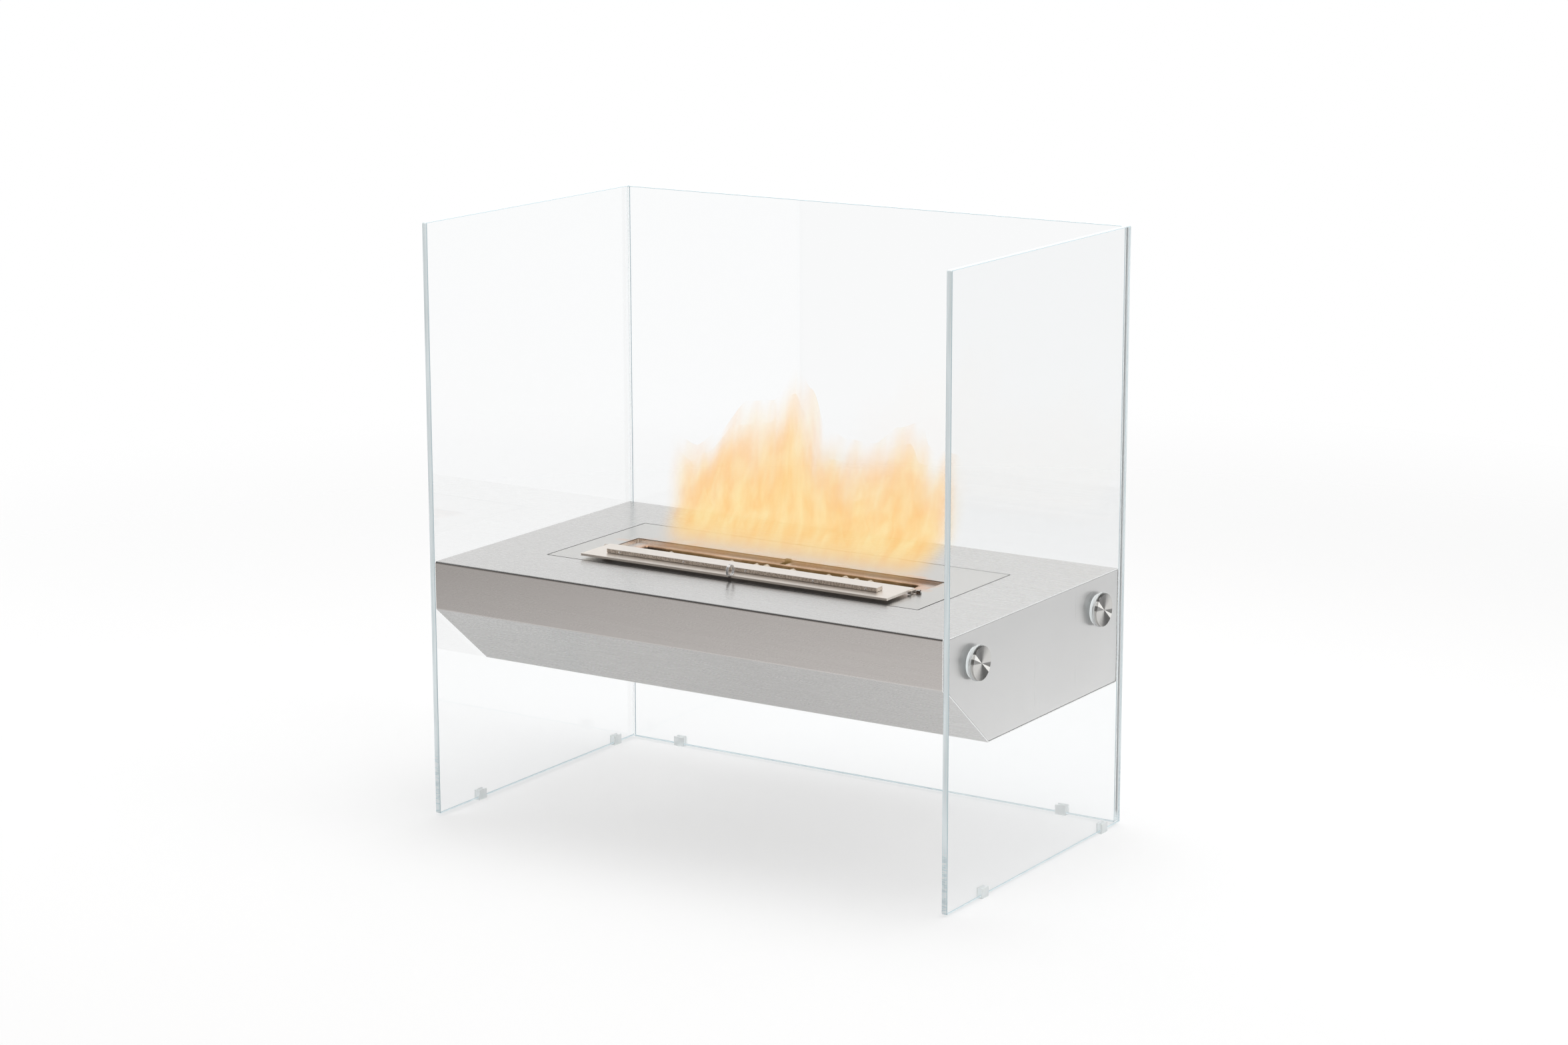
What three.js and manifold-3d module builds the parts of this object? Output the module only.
// Bioethanol fireplace: a folded stainless body hung between three clear glass panes.
// Millimetres, +Z up, front towards -Y. The origin is on the floor, under the centre of
// the object's outer box. Pieces are drawn with y = 0 at the front edges of the glass,
// and the whole group is moved back by half of the overall depth.

import * as THREE from 'three';
import { mergeVertices } from 'three/addons/utils/BufferGeometryUtils.js';
import Module from 'manifold-3d';

const wasm = await Module();
wasm.setup();

// ---- Driving dimensions -------------------------------------------------------------

// Clearance that pieces keep to what they rest on, pass through or are welded to.
const seatGap = 0.3;

// Glass panes: two sides and a back between them.
const outerWidth = 800;
const glassDepth = 461;
const glassHeight = 804.6;
const glassThickness = 8;
const glassArris = 0.8;
const glassCornerRadius = 2;
const bondThickness = 0.7;

// Foot clips: clear channels under the panes.
const clipLength = 16;
const clipHeight = 14;
const clipWall = 2.6;
const clipFloor = 2;
const clipCornerRadius = 1.2;
const clipFrontY = 92;
const clipRearInset = 49;
const clipBackInset = 90;

// Body: one folded sheet, open at the ends, with an end plate let into each end.
const sheetThickness = 1.5;
const bendRadius = 3;
const bodyGlassGap = 1.3;
const bodyTopHeight = 351;
const bodyFrontHeight = 65.5;
const bodyHeight = 155.8;
const chamferRun = 108;
const endPlateInset = 0.6;
const endPlateFlange = 12;

// Snuffer lid, shown open: it lies flipped towards the front. Its axis is as far above
// the body's top as half of the open plate's height, so that it closes level with it.
const lidLength = 478;
const lidDepth = 68.5;
const lidThickness = 3;
const lidCornerRadius = 0.8;
const hingeY = 188.5;
const hingeRise = 1.8;
const barLength = 422;
const barDepth = 15;
const barHeight = 5.5;
const barFrontOffset = 21;
const barEdgeRadius = 0.6;
const eyeletRadius = 6.25;
const eyeletWireRadius = 2;
const eyeletLift = 6;
const eyeletSetback = 1.5;
const eyeletClearance = 0.7;
const knuckleWidth = 5.5;
const knuckleReach = 2.5;
const knuckleRadius = 2.4;
const knuckleArm = 12.5;
const knuckleArmDrop = 2.6;
const hingePinRadius = 1.1;
const hingePinClearance = 0.25;
const hingePinHeadRadius = 1.5;
const hingePinHeadLength = 1.6;
const earWidth = 4;
const earRadius = 3.2;
const earClearance = 0.6;

// Burner panel, let into the body top, with a shallow recess that the lid closes into.
const recessEndGap = 4;
const recessFrontGap = 4;
const recessBackGap = 3;
const recessDepth = 3.8;
const recessCornerRadius = 1.2;
const notchWidth = 9.4;
const panelEndMargin = 45;
const panelFrontMargin = 71;
const panelBackMargin = 81;
const panelCornerRadius = 1.5;
const seamWidth = 1.6;
const ledgeThickness = 2;
const ledgeOverlap = 12;
const ledgeSupport = 10;

// Mouth of the burner: a slot for the lid's bar, its edges rolled down into the tank.
const mouthEndGap = 4;
const mouthFrontGap = 4;
const mouthBackGap = 5;
const mouthCornerRadius = 3;
const lipRadius = 3;
const mouthFlange = 9;

// Fuel tank under the panel, with its perforated cover over ceramic wool.
const tankEndMargin = 15;
const tankDepth = 94;
const tankHeight = 60;
const tankWall = 1.5;
const tankCornerRadius = 6;
const coverDrop = 14;
const coverThickness = 1.2;
const coverHoleRadius = 3;
const coverColumnPitch = 18;
const coverRowPitch = 26;

// Standoffs that carry the body between the side panes.
const standoffFrontY = 69;
const standoffRearInset = 69;
const standoffHeight = 308;
const capRadius = 22;
const capThickness = 4.2;
const capEdgeRadius = 0.7;
const capDish = 0.6;
const outerWasherRadius = 23;
const outerWasherThickness = 2.6;
const innerWasherRadius = 20;
const washerEdgeRadius = 0.4;
const glassHoleRadius = 8;
const sleeveClearance = 0.4;
const screwRadius = 4;
const screwClearance = 0.5;
const screwEngagement = 2.4;
const screwHeadHeight = 5;
const screwHeadRadius = 7.2;

// ---- Places worked out from the driving dimensions ----------------------------------

const glassBottom = clipFloor + seatGap;
const glassOuterX = outerWidth / 2;
const glassInnerX = glassOuterX - glassThickness;
const backPaneHalf = glassInnerX - bondThickness - 2 * seatGap;
const backPaneFrontY = glassDepth - glassThickness;
const overallDepth = glassDepth + seatGap + clipWall;
const clipRearY = glassDepth - clipRearInset;
const clipBackX = glassOuterX - clipBackInset;

const bodyHalf = glassInnerX - bodyGlassGap;
const bodyBackY = backPaneFrontY - seatGap;
const bodyTop = glassBottom + bodyTopHeight;
const bodyBottom = bodyTop - bodyHeight;
const endPlateOuterX = bodyHalf - endPlateInset;
const endPlateInnerX = endPlateOuterX - sheetThickness;

const hingeZ = bodyTop + hingeRise;
const lidBottom = hingeZ + hingeRise;
const lidTop = lidBottom + lidThickness;
const lidFrontY = hingeY - lidDepth;
const barFrontY = lidFrontY + barFrontOffset;
const eyeletY = lidFrontY + eyeletSetback;
const eyeletZ = lidTop + eyeletLift;
const eyeletOuterRadius = eyeletRadius + eyeletWireRadius;
const eyeletSwing = Math.hypot(hingeY - eyeletY, eyeletZ - hingeZ);
const knuckleOuterX = lidLength / 2 + knuckleReach;
const knuckleInnerX = knuckleOuterX - knuckleWidth;

const recessWidth = lidLength + 2 * recessEndGap;
const recessFrontY = hingeY - recessFrontGap;
const recessBackY = hingeY + lidDepth + recessBackGap;
const recessMidY = (recessFrontY + recessBackY) / 2;
const recessSpan = recessBackY - recessFrontY;
const recessFloor = bodyTop - recessDepth;
const notchBackY = hingeY + eyeletSwing + eyeletOuterRadius + eyeletClearance;
const notchFrontY = 2 * hingeY - eyeletY - eyeletOuterRadius - eyeletClearance;
const earInnerX = recessWidth / 2 + earClearance;
const earOuterX = earInnerX + earWidth;
const hingePinEndX = earOuterX + seatGap + hingePinHeadLength;

const panelWidth = recessWidth + 2 * panelEndMargin;
const panelFrontY = recessFrontY - panelFrontMargin;
const panelBackY = recessBackY + panelBackMargin;
const panelDepth = panelBackY - panelFrontY;
const panelMidY = (panelFrontY + panelBackY) / 2;
const ledgeTop = bodyTop - sheetThickness - seatGap;

const mouthLength = barLength + 2 * mouthEndGap;
const mouthFrontY = 2 * hingeY - barFrontY - barDepth - mouthFrontGap;
const mouthBackY = 2 * hingeY - barFrontY + mouthBackGap;
const mouthDepth = mouthBackY - mouthFrontY;
const mouthMidY = (mouthFrontY + mouthBackY) / 2;
const mouthBottom = recessFloor - lipRadius - mouthFlange;

const tankLength = mouthLength + 2 * tankEndMargin;
const tankTop = recessFloor - lipRadius;
const tankBottom = tankTop - tankHeight;
const tankBackY = mouthBackY + sheetThickness + seatGap + tankWall;
const tankMidY = tankBackY - tankDepth / 2;
const coverTop = tankTop - tankWall - coverDrop;
const coverBottom = tankBottom + tankWall + seatGap;
const coverLength = tankLength - 2 * (tankCornerRadius + seatGap);
const coverDepth = tankDepth - 2 * (tankWall + seatGap);

const standoffZ = glassBottom + standoffHeight;
const standoffRearY = glassDepth - standoffRearInset;

// Facets round a full turn, steps in a rounded rim, and half of the steps in a corner.
const fineFacets = 32;
const smallFacets = 16;
const rimSteps = 4;
const cornerFacets = 2;

// ---- Materials ----------------------------------------------------------------------

function metal(color, roughness) {
  return new THREE.MeshStandardMaterial({ color, roughness, metalness: 1 });
}

function clear(color, opacity) {
  return new THREE.MeshStandardMaterial({
    color,
    opacity,
    roughness: 0.08,
    metalness: 0,
    transparent: true,
  });
}

const steelBrushed = () => metal(0xc9c7c5, 0.34);
const steelBright = () => metal(0xdad7d4, 0.22);
const steelDark = () => metal(0x8f8a86, 0.5);
const glassClear = () => clear(0xe9f0ee, 0.25);
const plasticClear = () => clear(0xdfe5e8, 0.5);
const woolWhite = () => new THREE.MeshStandardMaterial({ color: 0xe8e4da, roughness: 1 });

// ---- Solids: joining, cutting and turning profiles into bodies -----------------------

function signedVolume(geometry) {
  const position = geometry.getAttribute('position');
  const index = geometry.getIndex();
  const [a, b, c] = [new THREE.Vector3(), new THREE.Vector3(), new THREE.Vector3()];
  let volume = 0;
  for (let i = 0; i < index.count; i += 3) {
    a.fromBufferAttribute(position, index.getX(i));
    b.fromBufferAttribute(position, index.getX(i + 1));
    c.fromBufferAttribute(position, index.getX(i + 2));
    volume += a.dot(b.cross(c)) / 6;
  }
  return volume;
}

// Vertices merged and faces pointing out, whichever way the profile was drawn.
function closed(geometry) {
  const bare = geometry.clone();
  bare.deleteAttribute('normal');
  bare.deleteAttribute('uv');
  const merged = mergeVertices(bare, 1e-4);
  const index = Array.from(merged.getIndex().array);
  const kept = [];
  for (let i = 0; i < index.length; i += 3) {
    const [a, b, c] = index.slice(i, i + 3);
    if (a !== b && b !== c && c !== a) {
      kept.push(a, b, c);
    }
  }
  merged.setIndex(kept);
  if (signedVolume(merged) < 0) {
    for (let i = 0; i < kept.length; i += 3) {
      [kept[i + 1], kept[i + 2]] = [kept[i + 2], kept[i + 1]];
    }
    merged.setIndex(kept);
  }
  return merged;
}

function toSolid(geometry) {
  const merged = closed(geometry);
  return new wasm.Manifold(new wasm.Mesh({
    numProp: 3,
    vertProperties: new Float32Array(merged.getAttribute('position').array),
    triVerts: new Uint32Array(merged.getIndex().array),
  }));
}

function toGeometry(solid) {
  const mesh = solid.getMesh();
  const geometry = new THREE.BufferGeometry();
  geometry.setAttribute('position', new THREE.BufferAttribute(mesh.vertProperties, 3));
  geometry.setIndex(new THREE.BufferAttribute(mesh.triVerts, 1));
  geometry.computeVertexNormals();
  return geometry;
}

// The first geometry and the added ones as one body, less the cut ones.
function shaped(first, { add = [], cut = [] }) {
  let solid = toSolid(first);
  for (const geometry of add) {
    solid = solid.add(toSolid(geometry));
  }
  for (const geometry of cut) {
    solid = solid.subtract(toSolid(geometry));
  }
  return toGeometry(solid);
}

// A closed outline with every corner rounded, for any order of the corners.
function roundedOutline(corners, radius, outline = new THREE.Shape()) {
  const count = corners.length;
  corners.forEach((corner, i) => {
    const back = corners[(i + count - 1) % count].clone().sub(corner).normalize();
    const ahead = corners[(i + 1) % count].clone().sub(corner).normalize();
    const half = Math.acos(back.dot(ahead)) / 2;
    const reach = radius / Math.tan(half);
    const middle = back.clone().add(ahead).normalize();
    const centre = corner.clone().addScaledVector(middle, radius / Math.sin(half));
    const start = corner.clone().addScaledVector(back, reach).sub(centre);
    const end = corner.clone().addScaledVector(ahead, reach).sub(centre);
    const clockwise = back.cross(ahead) > 0;
    outline.absarc(centre.x, centre.y, radius, start.angle(), end.angle(), clockwise);
  });
  outline.closePath();
  return outline;
}

// Corners of a convex outline moved in by a distance, square to its sides.
function insetCorners(corners, distance) {
  const count = corners.length;
  return corners.map((corner, i) => {
    const back = corners[(i + count - 1) % count].clone().sub(corner).normalize();
    const ahead = corners[(i + 1) % count].clone().sub(corner).normalize();
    const half = Math.acos(back.dot(ahead)) / 2;
    const middle = back.add(ahead).normalize();
    return corner.clone().addScaledVector(middle, distance / Math.sin(half));
  });
}

function rectangleCorners(width, height, midX, midY) {
  return [
    new THREE.Vector2(midX - width / 2, midY - height / 2),
    new THREE.Vector2(midX + width / 2, midY - height / 2),
    new THREE.Vector2(midX + width / 2, midY + height / 2),
    new THREE.Vector2(midX - width / 2, midY + height / 2),
  ];
}

function roundedRectangle(width, height, radius, midX = 0, midY = 0) {
  return roundedOutline(rectangleCorners(width, height, midX, midY), radius);
}

function circlePath(x, y, radius, facets) {
  const points = [];
  for (let i = 0; i < facets; i += 1) {
    const angle = -(i / facets) * 2 * Math.PI;
    points.push(new THREE.Vector2(x + radius * Math.cos(angle), y + radius * Math.sin(angle)));
  }
  return new THREE.Path(points);
}

// A shape pushed through a thickness, with an optional rounded or flat arris.
function extruded(shape, thickness, facets, arris = 0, arrisSteps = 1) {
  const geometry = new THREE.ExtrudeGeometry(shape, {
    depth: thickness - 2 * arris,
    curveSegments: facets,
    bevelEnabled: arris > 0,
    bevelThickness: arris,
    bevelSize: arris,
    bevelOffset: -arris,
    bevelSegments: arrisSteps,
  });
  geometry.translate(0, 0, arris);
  return geometry;
}

// Shape drawn in (x, y), pushed up from a height.
function upFrom(z, shape, thickness, facets = cornerFacets, arris = 0, arrisSteps = 1) {
  const geometry = extruded(shape, thickness, facets, arris, arrisSteps);
  geometry.translate(0, 0, z);
  return geometry;
}

// Shape drawn in (y, z), pushed towards +X.
const acrossBasis = new THREE.Matrix4().makeBasis(
  new THREE.Vector3(0, 1, 0),
  new THREE.Vector3(0, 0, 1),
  new THREE.Vector3(1, 0, 0),
);
function acrossFrom(x, shape, thickness, facets = cornerFacets, arris = 0) {
  const geometry = extruded(shape, thickness, facets, arris);
  geometry.applyMatrix4(acrossBasis);
  geometry.translate(x, 0, 0);
  return geometry;
}

// Shape drawn in (x, z), pushed towards +Y.
function backFrom(y, shape, thickness, facets = cornerFacets, arris = 0) {
  const geometry = extruded(shape, thickness, facets, arris);
  geometry.rotateX(Math.PI / 2);
  geometry.translate(0, y + thickness, 0);
  return geometry;
}

// Round piece along X: its profile gives [x, radius] pairs and ends on the axis or closes.
function turnedAlongX(profile, facets) {
  const points = profile.map(([x, radius]) => new THREE.Vector2(radius, x));
  const geometry = new THREE.LatheGeometry(points, facets);
  geometry.rotateZ(-Math.PI / 2);
  return geometry;
}

function rodAlongX(fromX, toX, y, z, radius, facets = smallFacets) {
  const rod = turnedAlongX([[fromX, 0], [fromX, radius], [toX, radius], [toX, 0]], facets);
  rod.translate(0, y, z);
  return rod;
}

// A body through rounded rectangles of one centre: [z, outward offset] for each level.
function loftedRectangle(width, depth, radius, midY, levels) {
  const rings = levels.map(([z, offset]) => {
    const shape = roundedRectangle(
      width + 2 * offset,
      depth + 2 * offset,
      radius + offset,
      0,
      midY,
    );
    const points = shape.getPoints(cornerFacets).slice(0, -1);
    return points.map((point) => new THREE.Vector3(point.x, point.y, z));
  });
  const size = rings[0].length;
  const positions = rings.flat().flatMap((point) => point.toArray());
  const index = [];
  for (let level = 0; level + 1 < rings.length; level += 1) {
    for (let i = 0; i < size; i += 1) {
      const next = (i + 1) % size;
      const low = level * size;
      const high = low + size;
      index.push(low + i, low + next, high + next);
      index.push(low + i, high + next, high + i);
    }
  }
  const lid = THREE.ShapeUtils.triangulateShape(
    rings[0].map((point) => new THREE.Vector2(point.x, point.y)),
    [],
  );
  const top = (rings.length - 1) * size;
  for (const [a, b, c] of lid) {
    index.push(c, b, a);
    index.push(top + a, top + b, top + c);
  }
  const geometry = new THREE.BufferGeometry();
  geometry.setAttribute('position', new THREE.Float32BufferAttribute(positions, 3));
  geometry.setIndex(index);
  return geometry;
}

// ---- The object and its groups -------------------------------------------------------

const fireplace = new THREE.Group();
fireplace.position.y = -overallDepth / 2;

function addPiece(name, geometry, material, parent = fireplace) {
  const mesh = new THREE.Mesh(geometry, material);
  mesh.name = name;
  parent.add(mesh);
  return mesh;
}

const sides = [
  { name: 'left', sign: -1 },
  { name: 'right', sign: 1 },
];
const standoffRows = [
  { name: 'front', y: standoffFrontY },
  { name: 'rear', y: standoffRearY },
];

// ---- Glass ---------------------------------------------------------------------------

function sidePane(sign) {
  const shape = roundedRectangle(
    glassDepth,
    glassHeight,
    glassCornerRadius,
    glassDepth / 2,
    glassBottom + glassHeight / 2,
  );
  for (const row of standoffRows) {
    shape.holes.push(circlePath(row.y, standoffZ, glassHoleRadius + glassArris, fineFacets));
  }
  const innerFace = sign > 0 ? glassInnerX : -glassOuterX;
  return acrossFrom(innerFace, shape, glassThickness, cornerFacets, glassArris);
}

function backPane() {
  const shape = roundedRectangle(
    2 * backPaneHalf,
    glassHeight,
    glassCornerRadius,
    0,
    glassBottom + glassHeight / 2,
  );
  return backFrom(backPaneFrontY, shape, glassThickness, cornerFacets, glassArris);
}

// Clear bond line between the back pane's edge and the inner face of a side pane.
function bondStrip(sign) {
  const strip = new THREE.BoxGeometry(
    bondThickness,
    glassThickness - 2 * glassArris,
    glassHeight - 2 * glassCornerRadius,
  );
  const x = sign * (glassInnerX - seatGap - bondThickness / 2);
  strip.translate(x, backPaneFrontY + glassThickness / 2, glassBottom + glassHeight / 2);
  return strip;
}

for (const side of sides) {
  addPiece(`glass_${side.name}`, sidePane(side.sign), glassClear());
  addPiece(`corner_bond_${side.name}`, bondStrip(side.sign), plasticClear());
}
addPiece('glass_back', backPane(), glassClear());

// ---- Foot clips ----------------------------------------------------------------------

// Channel section drawn round a pane's lower edge, centred on the pane.
function clipSection() {
  const outerHalf = glassThickness / 2 + seatGap + clipWall;
  const innerHalf = glassThickness / 2 + seatGap;
  const section = new THREE.Shape();
  section.moveTo(-outerHalf, clipHeight);
  section.lineTo(-outerHalf, clipCornerRadius);
  section.absarc(
    -outerHalf + clipCornerRadius,
    clipCornerRadius,
    clipCornerRadius,
    Math.PI,
    1.5 * Math.PI,
    false,
  );
  section.lineTo(outerHalf - clipCornerRadius, 0);
  section.absarc(
    outerHalf - clipCornerRadius,
    clipCornerRadius,
    clipCornerRadius,
    -0.5 * Math.PI,
    0,
    false,
  );
  section.lineTo(outerHalf, clipHeight);
  section.lineTo(innerHalf, clipHeight);
  section.lineTo(innerHalf, clipFloor);
  section.lineTo(-innerHalf, clipFloor);
  section.lineTo(-innerHalf, clipHeight);
  section.closePath();
  return section;
}

function sideClip(sign, y) {
  const clip = backFrom(y - clipLength / 2, clipSection(), clipLength, cornerFacets, 0.5);
  clip.translate(sign * (glassOuterX - glassThickness / 2), 0, 0);
  return clip;
}

function backClip(x) {
  const clip = acrossFrom(x - clipLength / 2, clipSection(), clipLength, cornerFacets, 0.5);
  clip.translate(0, glassDepth - glassThickness / 2, 0);
  return clip;
}

for (const side of sides) {
  addPiece(`foot_clip_${side.name}_front`, sideClip(side.sign, clipFrontY), plasticClear());
  addPiece(`foot_clip_${side.name}_rear`, sideClip(side.sign, clipRearY), plasticClear());
  addPiece(`foot_clip_back_${side.name}`, backClip(side.sign * clipBackX), plasticClear());
}

// ---- Body ----------------------------------------------------------------------------

// The folded section, seen from the right: front face, undercut, floor, back and top.
const bodyCorners = [
  new THREE.Vector2(0, bodyTop - bodyFrontHeight),
  new THREE.Vector2(chamferRun, bodyBottom),
  new THREE.Vector2(bodyBackY, bodyBottom),
  new THREE.Vector2(bodyBackY, bodyTop),
  new THREE.Vector2(0, bodyTop),
];

function bodyShell() {
  const section = roundedOutline(bodyCorners, bendRadius);
  const inner = roundedOutline(
    insetCorners(bodyCorners, sheetThickness),
    bendRadius - sheetThickness,
    new THREE.Path(),
  );
  section.holes.push(inner);
  const cutOut = roundedRectangle(
    panelWidth + 2 * seamWidth,
    panelDepth + 2 * seamWidth,
    panelCornerRadius,
    0,
    panelMidY,
  );
  return shaped(acrossFrom(-bodyHalf, section, 2 * bodyHalf), {
    cut: [upFrom(ledgeTop, cutOut, 3 * sheetThickness)],
  });
}

// End plate: a shallow tray, its flange turned in against the shell.
function endPlate(sign) {
  const inset = sheetThickness + seatGap;
  const outerRadius = Math.max(bendRadius - inset, seatGap);
  const outerCorners = insetCorners(bodyCorners, inset);
  const outline = roundedOutline(outerCorners, outerRadius);
  const hollow = roundedOutline(insetCorners(outerCorners, sheetThickness), seatGap);
  const depth = sheetThickness + endPlateFlange;
  const tray = acrossFrom(endPlateOuterX - depth, outline, depth);
  const inside = acrossFrom(endPlateInnerX - depth, hollow, depth);
  const screwHoles = standoffRows.map((row) => rodAlongX(
    endPlateInnerX - sheetThickness,
    endPlateOuterX + sheetThickness,
    row.y,
    standoffZ,
    screwRadius + screwClearance,
  ));
  const plate = shaped(tray, { cut: [inside, ...screwHoles] });
  if (sign < 0) {
    return mirroredAcross(plate);
  }
  return plate;
}

// The same piece for the other side of the object.
function mirroredAcross(geometry) {
  const twin = geometry.clone();
  twin.scale(-1, 1, 1);
  return closed(twin);
}

// Frame welded under the body's cut-out, on which the burner panel rests.
function burnerLedge() {
  const outerWidth = panelWidth + 2 * (seamWidth + ledgeOverlap);
  const outerDepth = panelDepth + 2 * (seamWidth + ledgeOverlap);
  const frame = roundedRectangle(outerWidth, outerDepth, panelCornerRadius, 0, panelMidY);
  const opening = roundedOutline(
    rectangleCorners(
      panelWidth - 2 * ledgeSupport,
      panelDepth - 2 * ledgeSupport,
      0,
      panelMidY,
    ),
    panelCornerRadius,
    new THREE.Path(),
  );
  frame.holes.push(opening);
  return upFrom(ledgeTop - ledgeThickness, frame, ledgeThickness);
}

addPiece('body_shell', bodyShell(), steelBrushed());
for (const side of sides) {
  addPiece(`end_plate_${side.name}`, endPlate(side.sign), steelBrushed());
}
addPiece('burner_ledge', burnerLedge(), steelDark());

// ---- Burner module -------------------------------------------------------------------

// Levels of a surface rolled down round the mouth: straight wall, then a quarter round.
function rolledLevels(bottomZ, topZ, radius, wall) {
  const levels = [[bottomZ, wall]];
  const centreZ = recessFloor - lipRadius;
  for (let step = 0; step <= rimSteps; step += 1) {
    const angle = (step / rimSteps) * (Math.PI / 2);
    levels.push([centreZ + radius * Math.sin(angle), lipRadius - radius * Math.cos(angle)]);
  }
  levels.push([topZ, lipRadius]);
  return levels;
}

function burnerPanel() {
  const rimBottom = bodyTop - sheetThickness;
  const pocketBottom = recessFloor - sheetThickness;
  const above = bodyTop + sheetThickness;
  const rim = upFrom(
    rimBottom,
    roundedRectangle(panelWidth, panelDepth, panelCornerRadius, 0, panelMidY),
    sheetThickness,
  );
  const pocket = upFrom(
    pocketBottom,
    roundedRectangle(
      recessWidth + 2 * sheetThickness,
      recessSpan + 2 * sheetThickness,
      recessCornerRadius + sheetThickness,
      0,
      recessMidY,
    ),
    rimBottom - pocketBottom + sheetThickness / 2,
  );
  const notchSpan = notchBackY - notchFrontY;
  const notchMidY = (notchBackY + notchFrontY) / 2;
  const notchWalls = upFrom(
    pocketBottom,
    roundedRectangle(
      notchWidth + 2 * sheetThickness,
      notchSpan + 2 * sheetThickness,
      recessCornerRadius + sheetThickness,
      0,
      notchMidY,
    ),
    rimBottom - pocketBottom + sheetThickness / 2,
  );
  const innerBend = lipRadius - sheetThickness;
  const flange = loftedRectangle(
    mouthLength,
    mouthDepth,
    mouthCornerRadius,
    mouthMidY,
    [
      [mouthBottom, sheetThickness],
      [recessFloor - lipRadius, sheetThickness],
      [recessFloor - sheetThickness - innerBend / 3, sheetThickness + innerBend / 3],
      [recessFloor - sheetThickness, lipRadius],
      [recessFloor - sheetThickness / 2, lipRadius],
    ],
  );
  const ears = sides.map((side) => hingeEar(side.sign));
  const recess = upFrom(
    recessFloor,
    roundedRectangle(recessWidth, recessSpan, recessCornerRadius, 0, recessMidY),
    above - recessFloor,
  );
  const notch = upFrom(
    pocketBottom - sheetThickness,
    roundedRectangle(notchWidth, notchSpan, recessCornerRadius, 0, notchMidY),
    above - pocketBottom + sheetThickness,
  );
  const mouth = loftedRectangle(
    mouthLength,
    mouthDepth,
    mouthCornerRadius,
    mouthMidY,
    rolledLevels(mouthBottom - 1, recessFloor + 1, lipRadius, 0),
  );
  const earBores = sides.map((side) => {
    const ends = [side.sign * (earInnerX - 1), side.sign * (earOuterX + 1)];
    const bore = hingePinRadius + hingePinClearance;
    return rodAlongX(Math.min(...ends), Math.max(...ends), hingeY, hingeZ, bore);
  });
  return shaped(rim, {
    add: [pocket, notchWalls, flange, ...ears],
    cut: [recess, notch, mouth, ...earBores],
  });
}

// Ear on the panel that a hinge pin turns in: a round head on a straight foot.
function hingeEar(sign) {
  const foot = bodyTop - sheetThickness / 2;
  const ear = new THREE.Shape();
  ear.moveTo(hingeY - earRadius, foot);
  ear.lineTo(hingeY + earRadius, foot);
  ear.lineTo(hingeY + earRadius, hingeZ);
  ear.absarc(hingeY, hingeZ, earRadius, 0, Math.PI, false);
  ear.closePath();
  return acrossFrom(sign > 0 ? earInnerX : -earOuterX, ear, earWidth);
}

function fuelTank() {
  const outline = roundedRectangle(tankLength, tankDepth, tankCornerRadius, 0, tankMidY);
  const inner = roundedRectangle(
    tankLength - 2 * tankWall,
    tankDepth - 2 * tankWall,
    Math.max(tankCornerRadius - tankWall, seatGap),
    0,
    tankMidY,
  );
  const neck = sheetThickness + seatGap;
  const opening = roundedRectangle(
    mouthLength + 2 * neck,
    mouthDepth + 2 * neck,
    mouthCornerRadius + neck,
    0,
    mouthMidY,
  );
  return shaped(upFrom(tankBottom, outline, tankHeight), {
    cut: [
      upFrom(tankBottom + tankWall, inner, tankHeight - 2 * tankWall),
      upFrom(tankTop - 2 * tankWall, opening, 3 * tankWall),
    ],
  });
}

// Folded cover over the wool: a perforated top on two legs that stand on the tank floor.
function woolCover() {
  const section = new THREE.Shape();
  const frontY = tankMidY - coverDepth / 2;
  const backY = tankMidY + coverDepth / 2;
  section.moveTo(frontY, coverBottom);
  section.lineTo(frontY + coverThickness, coverBottom);
  section.lineTo(frontY + coverThickness, coverTop - coverThickness);
  section.lineTo(backY - coverThickness, coverTop - coverThickness);
  section.lineTo(backY - coverThickness, coverBottom);
  section.lineTo(backY, coverBottom);
  section.lineTo(backY, coverTop);
  section.lineTo(frontY, coverTop);
  section.closePath();
  const channel = acrossFrom(-coverLength / 2, section, coverLength);
  const columns = Math.floor((coverLength - coverColumnPitch) / coverColumnPitch);
  const rows = Math.floor(coverDepth / coverRowPitch);
  const holes = [];
  for (let row = 0; row < rows; row += 1) {
    for (let column = 0; column < columns; column += 1) {
      const x = (column - (columns - 1) / 2) * coverColumnPitch;
      const y = tankMidY + (row - (rows - 1) / 2) * coverRowPitch;
      const depth = 4 * coverThickness;
      const hole = new THREE.CylinderGeometry(coverHoleRadius, coverHoleRadius, depth, 6);
      hole.rotateX(Math.PI / 2);
      hole.translate(x, y, coverTop);
      holes.push(hole);
    }
  }
  return shaped(channel, { cut: holes });
}

// Ceramic wool that fills the space under the cover.
function woolPad() {
  const depth = coverDepth - 2 * (coverThickness + seatGap);
  const shape = roundedRectangle(coverLength, depth, seatGap, 0, tankMidY);
  return upFrom(coverBottom, shape, coverTop - coverThickness - seatGap - coverBottom);
}

addPiece('burner_panel', burnerPanel(), steelBrushed());
addPiece('fuel_tank', fuelTank(), steelDark());
addPiece('wool_cover', woolCover(), steelDark());
addPiece('wool_pad', woolPad(), woolWhite());

// ---- Snuffer lid ---------------------------------------------------------------------

// Half of the eyelet's breadth where it meets the plate's upper face.
const eyeletChord = Math.sqrt(Math.max(eyeletOuterRadius ** 2 - eyeletLift ** 2, 0));

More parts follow.
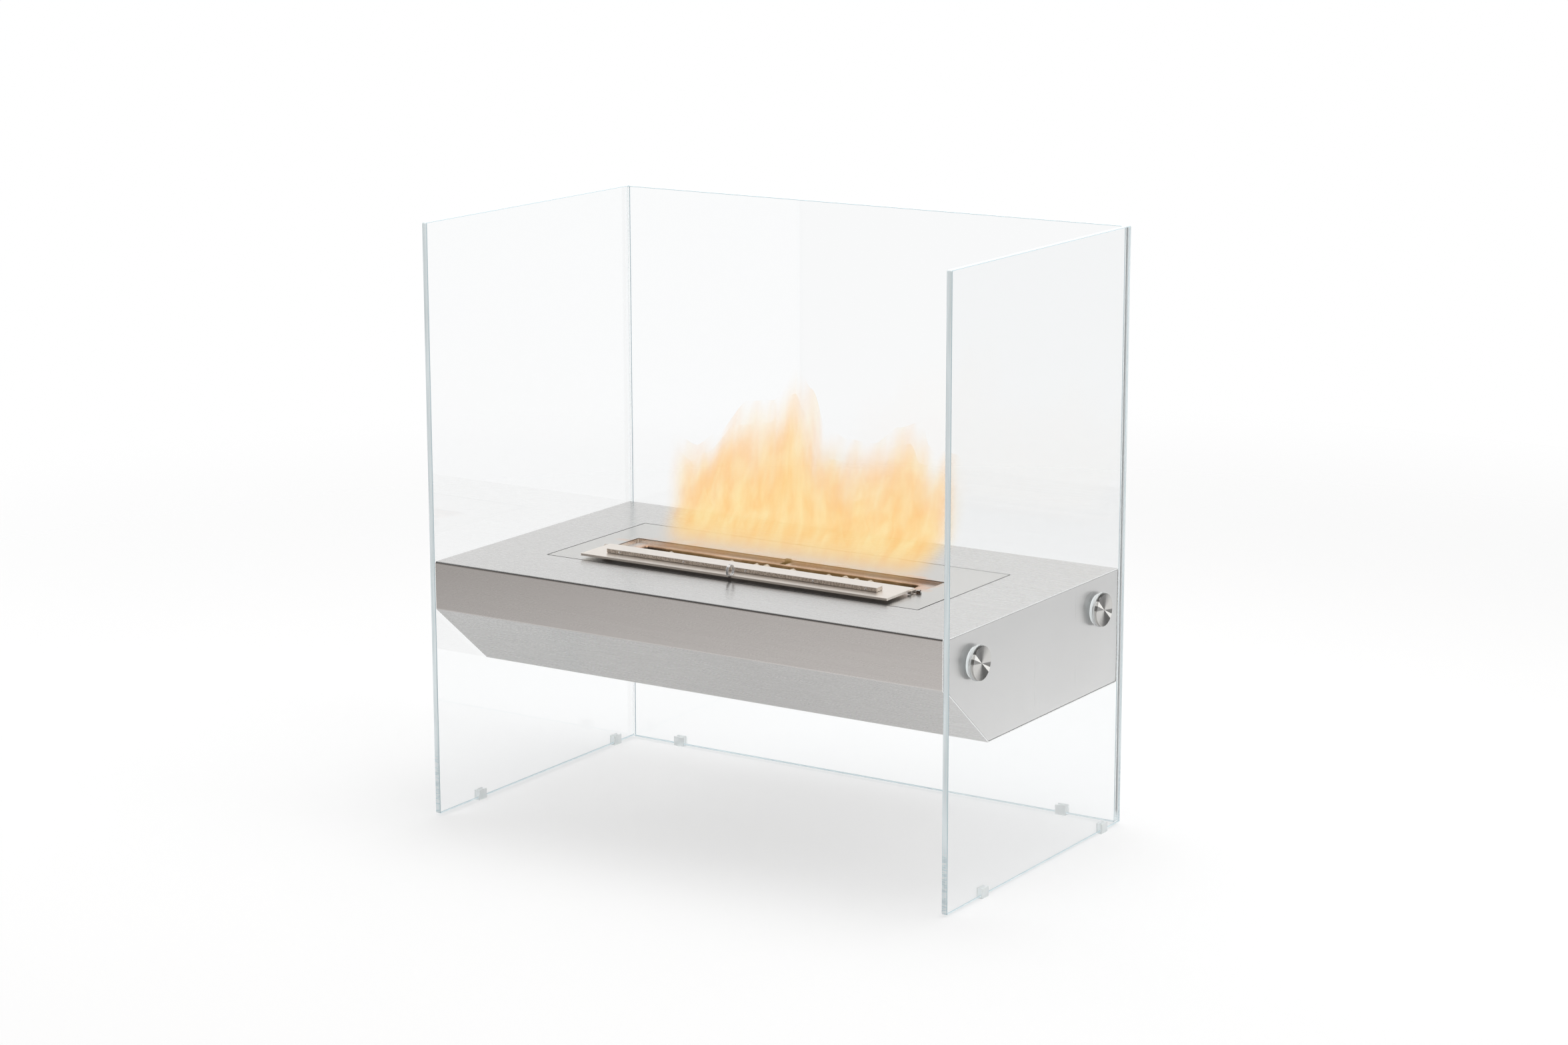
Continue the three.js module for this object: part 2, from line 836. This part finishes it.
// Knuckle at a rear corner: an arm along the plate's end and a round boss on the axis.
function knuckle(sign) {
  const arm = new THREE.Shape();
  const armBottom = lidBottom - knuckleArmDrop;
  const armTop = lidBottom + lidThickness / 2;
  arm.moveTo(hingeY - knuckleArm, armBottom);
  arm.lineTo(hingeY, armBottom);
  arm.lineTo(hingeY, armTop);
  arm.lineTo(hingeY - knuckleArm, armTop);
  arm.closePath();
  const x = sign > 0 ? knuckleInnerX : -knuckleOuterX;
  const boss = rodAlongX(x, x + knuckleWidth, hingeY, hingeZ, knuckleRadius);
  return [acrossFrom(x, arm, knuckleWidth), boss];
}

function lidPlate() {
  const plate = upFrom(
    lidBottom,
    roundedRectangle(lidLength, lidDepth, lidCornerRadius, 0, hingeY - lidDepth / 2),
    lidThickness,
  );
  const eyeletSlot = new THREE.BoxGeometry(
    2 * (eyeletWireRadius + seatGap),
    2 * (eyeletChord + seatGap),
    4 * lidThickness,
  );
  eyeletSlot.translate(0, eyeletY, lidBottom);
  const pinBores = sides.map((side) => {
    const ends = [side.sign * (knuckleInnerX - 1), side.sign * (knuckleOuterX + 1)];
    const bore = hingePinRadius + hingePinClearance;
    return rodAlongX(Math.min(...ends), Math.max(...ends), hingeY, hingeZ, bore);
  });
  return shaped(plate, {
    add: sides.flatMap((side) => knuckle(side.sign)),
    cut: [eyeletSlot, ...pinBores],
  });
}

// Bar on the plate's upper side: it closes the mouth when the lid is turned over.
function lidBar() {
  const shape = roundedRectangle(barLength, barDepth, barEdgeRadius, 0, barFrontY + barDepth / 2);
  return upFrom(lidTop + seatGap, shape, barHeight, cornerFacets, barEdgeRadius / 2);
}

function lidEyelet() {
  const ring = new THREE.TorusGeometry(eyeletRadius, eyeletWireRadius, 12, 28);
  ring.rotateY(Math.PI / 2);
  ring.translate(0, eyeletY, eyeletZ);
  return ring;
}

// Pin through a knuckle and an ear, with its head outside the ear.
function hingePin() {
  const headStart = earOuterX + seatGap;
  const pin = turnedAlongX(
    [
      [knuckleInnerX, 0],
      [knuckleInnerX, hingePinRadius],
      [headStart, hingePinRadius],
      [headStart, hingePinHeadRadius],
      [hingePinEndX - hingePinHeadLength / 3, hingePinHeadRadius],
      [hingePinEndX, hingePinHeadRadius / 2],
      [hingePinEndX, 0],
    ],
    smallFacets,
  );
  pin.translate(0, hingeY, hingeZ);
  return pin;
}

addPiece('lid_plate', lidPlate(), steelBright());
addPiece('lid_bar', lidBar(), steelBright());
addPiece('lid_eyelet', closed(lidEyelet()), steelBright());
addPiece('hinge_pin_left', mirroredAcross(hingePin()), steelBright());
addPiece('hinge_pin_right', hingePin(), steelBright());

// ---- Standoffs -----------------------------------------------------------------------

// The four pieces of a standoff, drawn for the right side with the axis along +X.
const innerWasherStart = endPlateOuterX + seatGap;
const innerWasherEnd = glassInnerX - seatGap;
const outerWasherStart = glassOuterX + seatGap;
const outerWasherEnd = outerWasherStart + outerWasherThickness;
const capStart = outerWasherEnd + seatGap;
const capEnd = capStart + capThickness;
const screwEnd = capStart + screwEngagement;
const screwHeadEnd = endPlateInnerX - seatGap;
const boreRadius = screwRadius + screwClearance;

// A disc between two faces with a round bore and both outer edges rounded.
function washerProfile(start, end, radius, edge) {
  return [
    [start, boreRadius],
    [start, radius - edge],
    [start + edge, radius],
    [end - edge, radius],
    [end, radius - edge],
    [end, boreRadius],
    [start, boreRadius],
  ];
}

function innerWasher() {
  const profile = washerProfile(
    innerWasherStart,
    innerWasherEnd,
    innerWasherRadius,
    washerEdgeRadius,
  );
  return turnedAlongX(profile, smallFacets * 2);
}

// Clear washer under the cap, with a sleeve that lines the hole in the glass.
function outerWasher() {
  const sleeveRadius = glassHoleRadius - sleeveClearance;
  const sleeveStart = innerWasherEnd + seatGap + glassArris;
  const edge = 2 * washerEdgeRadius;
  return turnedAlongX(
    [
      [sleeveStart, boreRadius],
      [sleeveStart, sleeveRadius],
      [outerWasherStart, sleeveRadius],
      [outerWasherStart, outerWasherRadius - edge],
      [outerWasherStart + edge, outerWasherRadius],
      [outerWasherEnd - edge, outerWasherRadius],
      [outerWasherEnd, outerWasherRadius - edge],
      [outerWasherEnd, boreRadius],
      [sleeveStart, boreRadius],
    ],
    fineFacets,
  );
}

// Turned cap: round rim, very slightly dished face, blind bore for the screw.
function standoffCap() {
  const profile = [
    [screwEnd + seatGap, 0],
    [screwEnd + seatGap, boreRadius],
    [capStart, boreRadius],
    [capStart, capRadius - washerEdgeRadius],
    [capStart + washerEdgeRadius, capRadius],
  ];
  for (let step = 0; step <= rimSteps; step += 1) {
    const angle = (step / rimSteps) * (Math.PI / 2);
    profile.push([
      capEnd - capEdgeRadius * (1 - Math.sin(angle)),
      capRadius - capEdgeRadius * (1 - Math.cos(angle)),
    ]);
  }
  profile.push([capEnd - capDish / 2, (capRadius - capEdgeRadius) * 0.75]);
  profile.push([capEnd - capDish, 0]);
  return turnedAlongX(profile, fineFacets);
}

// Hexagon screw from inside the body, through end plate, washers and glass into the cap.
function standoffScrew() {
  const shank = turnedAlongX(
    [
      [screwHeadEnd - screwHeadHeight / 2, 0],
      [screwHeadEnd - screwHeadHeight / 2, screwRadius],
      [screwEnd, screwRadius],
      [screwEnd, 0],
    ],
    smallFacets,
  );
  const head = turnedAlongX(
    [
      [screwHeadEnd - screwHeadHeight, 0],
      [screwHeadEnd - screwHeadHeight, screwHeadRadius],
      [screwHeadEnd, screwHeadRadius],
      [screwHeadEnd, 0],
    ],
    6,
  );
  return shaped(shank, { add: [head] });
}

// The left side's standoffs are the right side's, turned half round.
function addStandoff(side, row) {
  const standoff = new THREE.Group();
  standoff.position.set(0, row.y, standoffZ);
  standoff.rotation.z = side.sign > 0 ? 0 : Math.PI;
  const tail = `${side.name}_${row.name}`;
  addPiece(`standoff_cap_${tail}`, standoffCap(), steelBright(), standoff);
  addPiece(`outer_washer_${tail}`, outerWasher(), plasticClear(), standoff);
  addPiece(`inner_washer_${tail}`, innerWasher(), plasticClear(), standoff);
  addPiece(`standoff_screw_${tail}`, standoffScrew(), steelDark(), standoff);
  fireplace.add(standoff);
}

for (const side of sides) {
  for (const row of standoffRows) {
    addStandoff(side, row);
  }
}

export default fireplace;
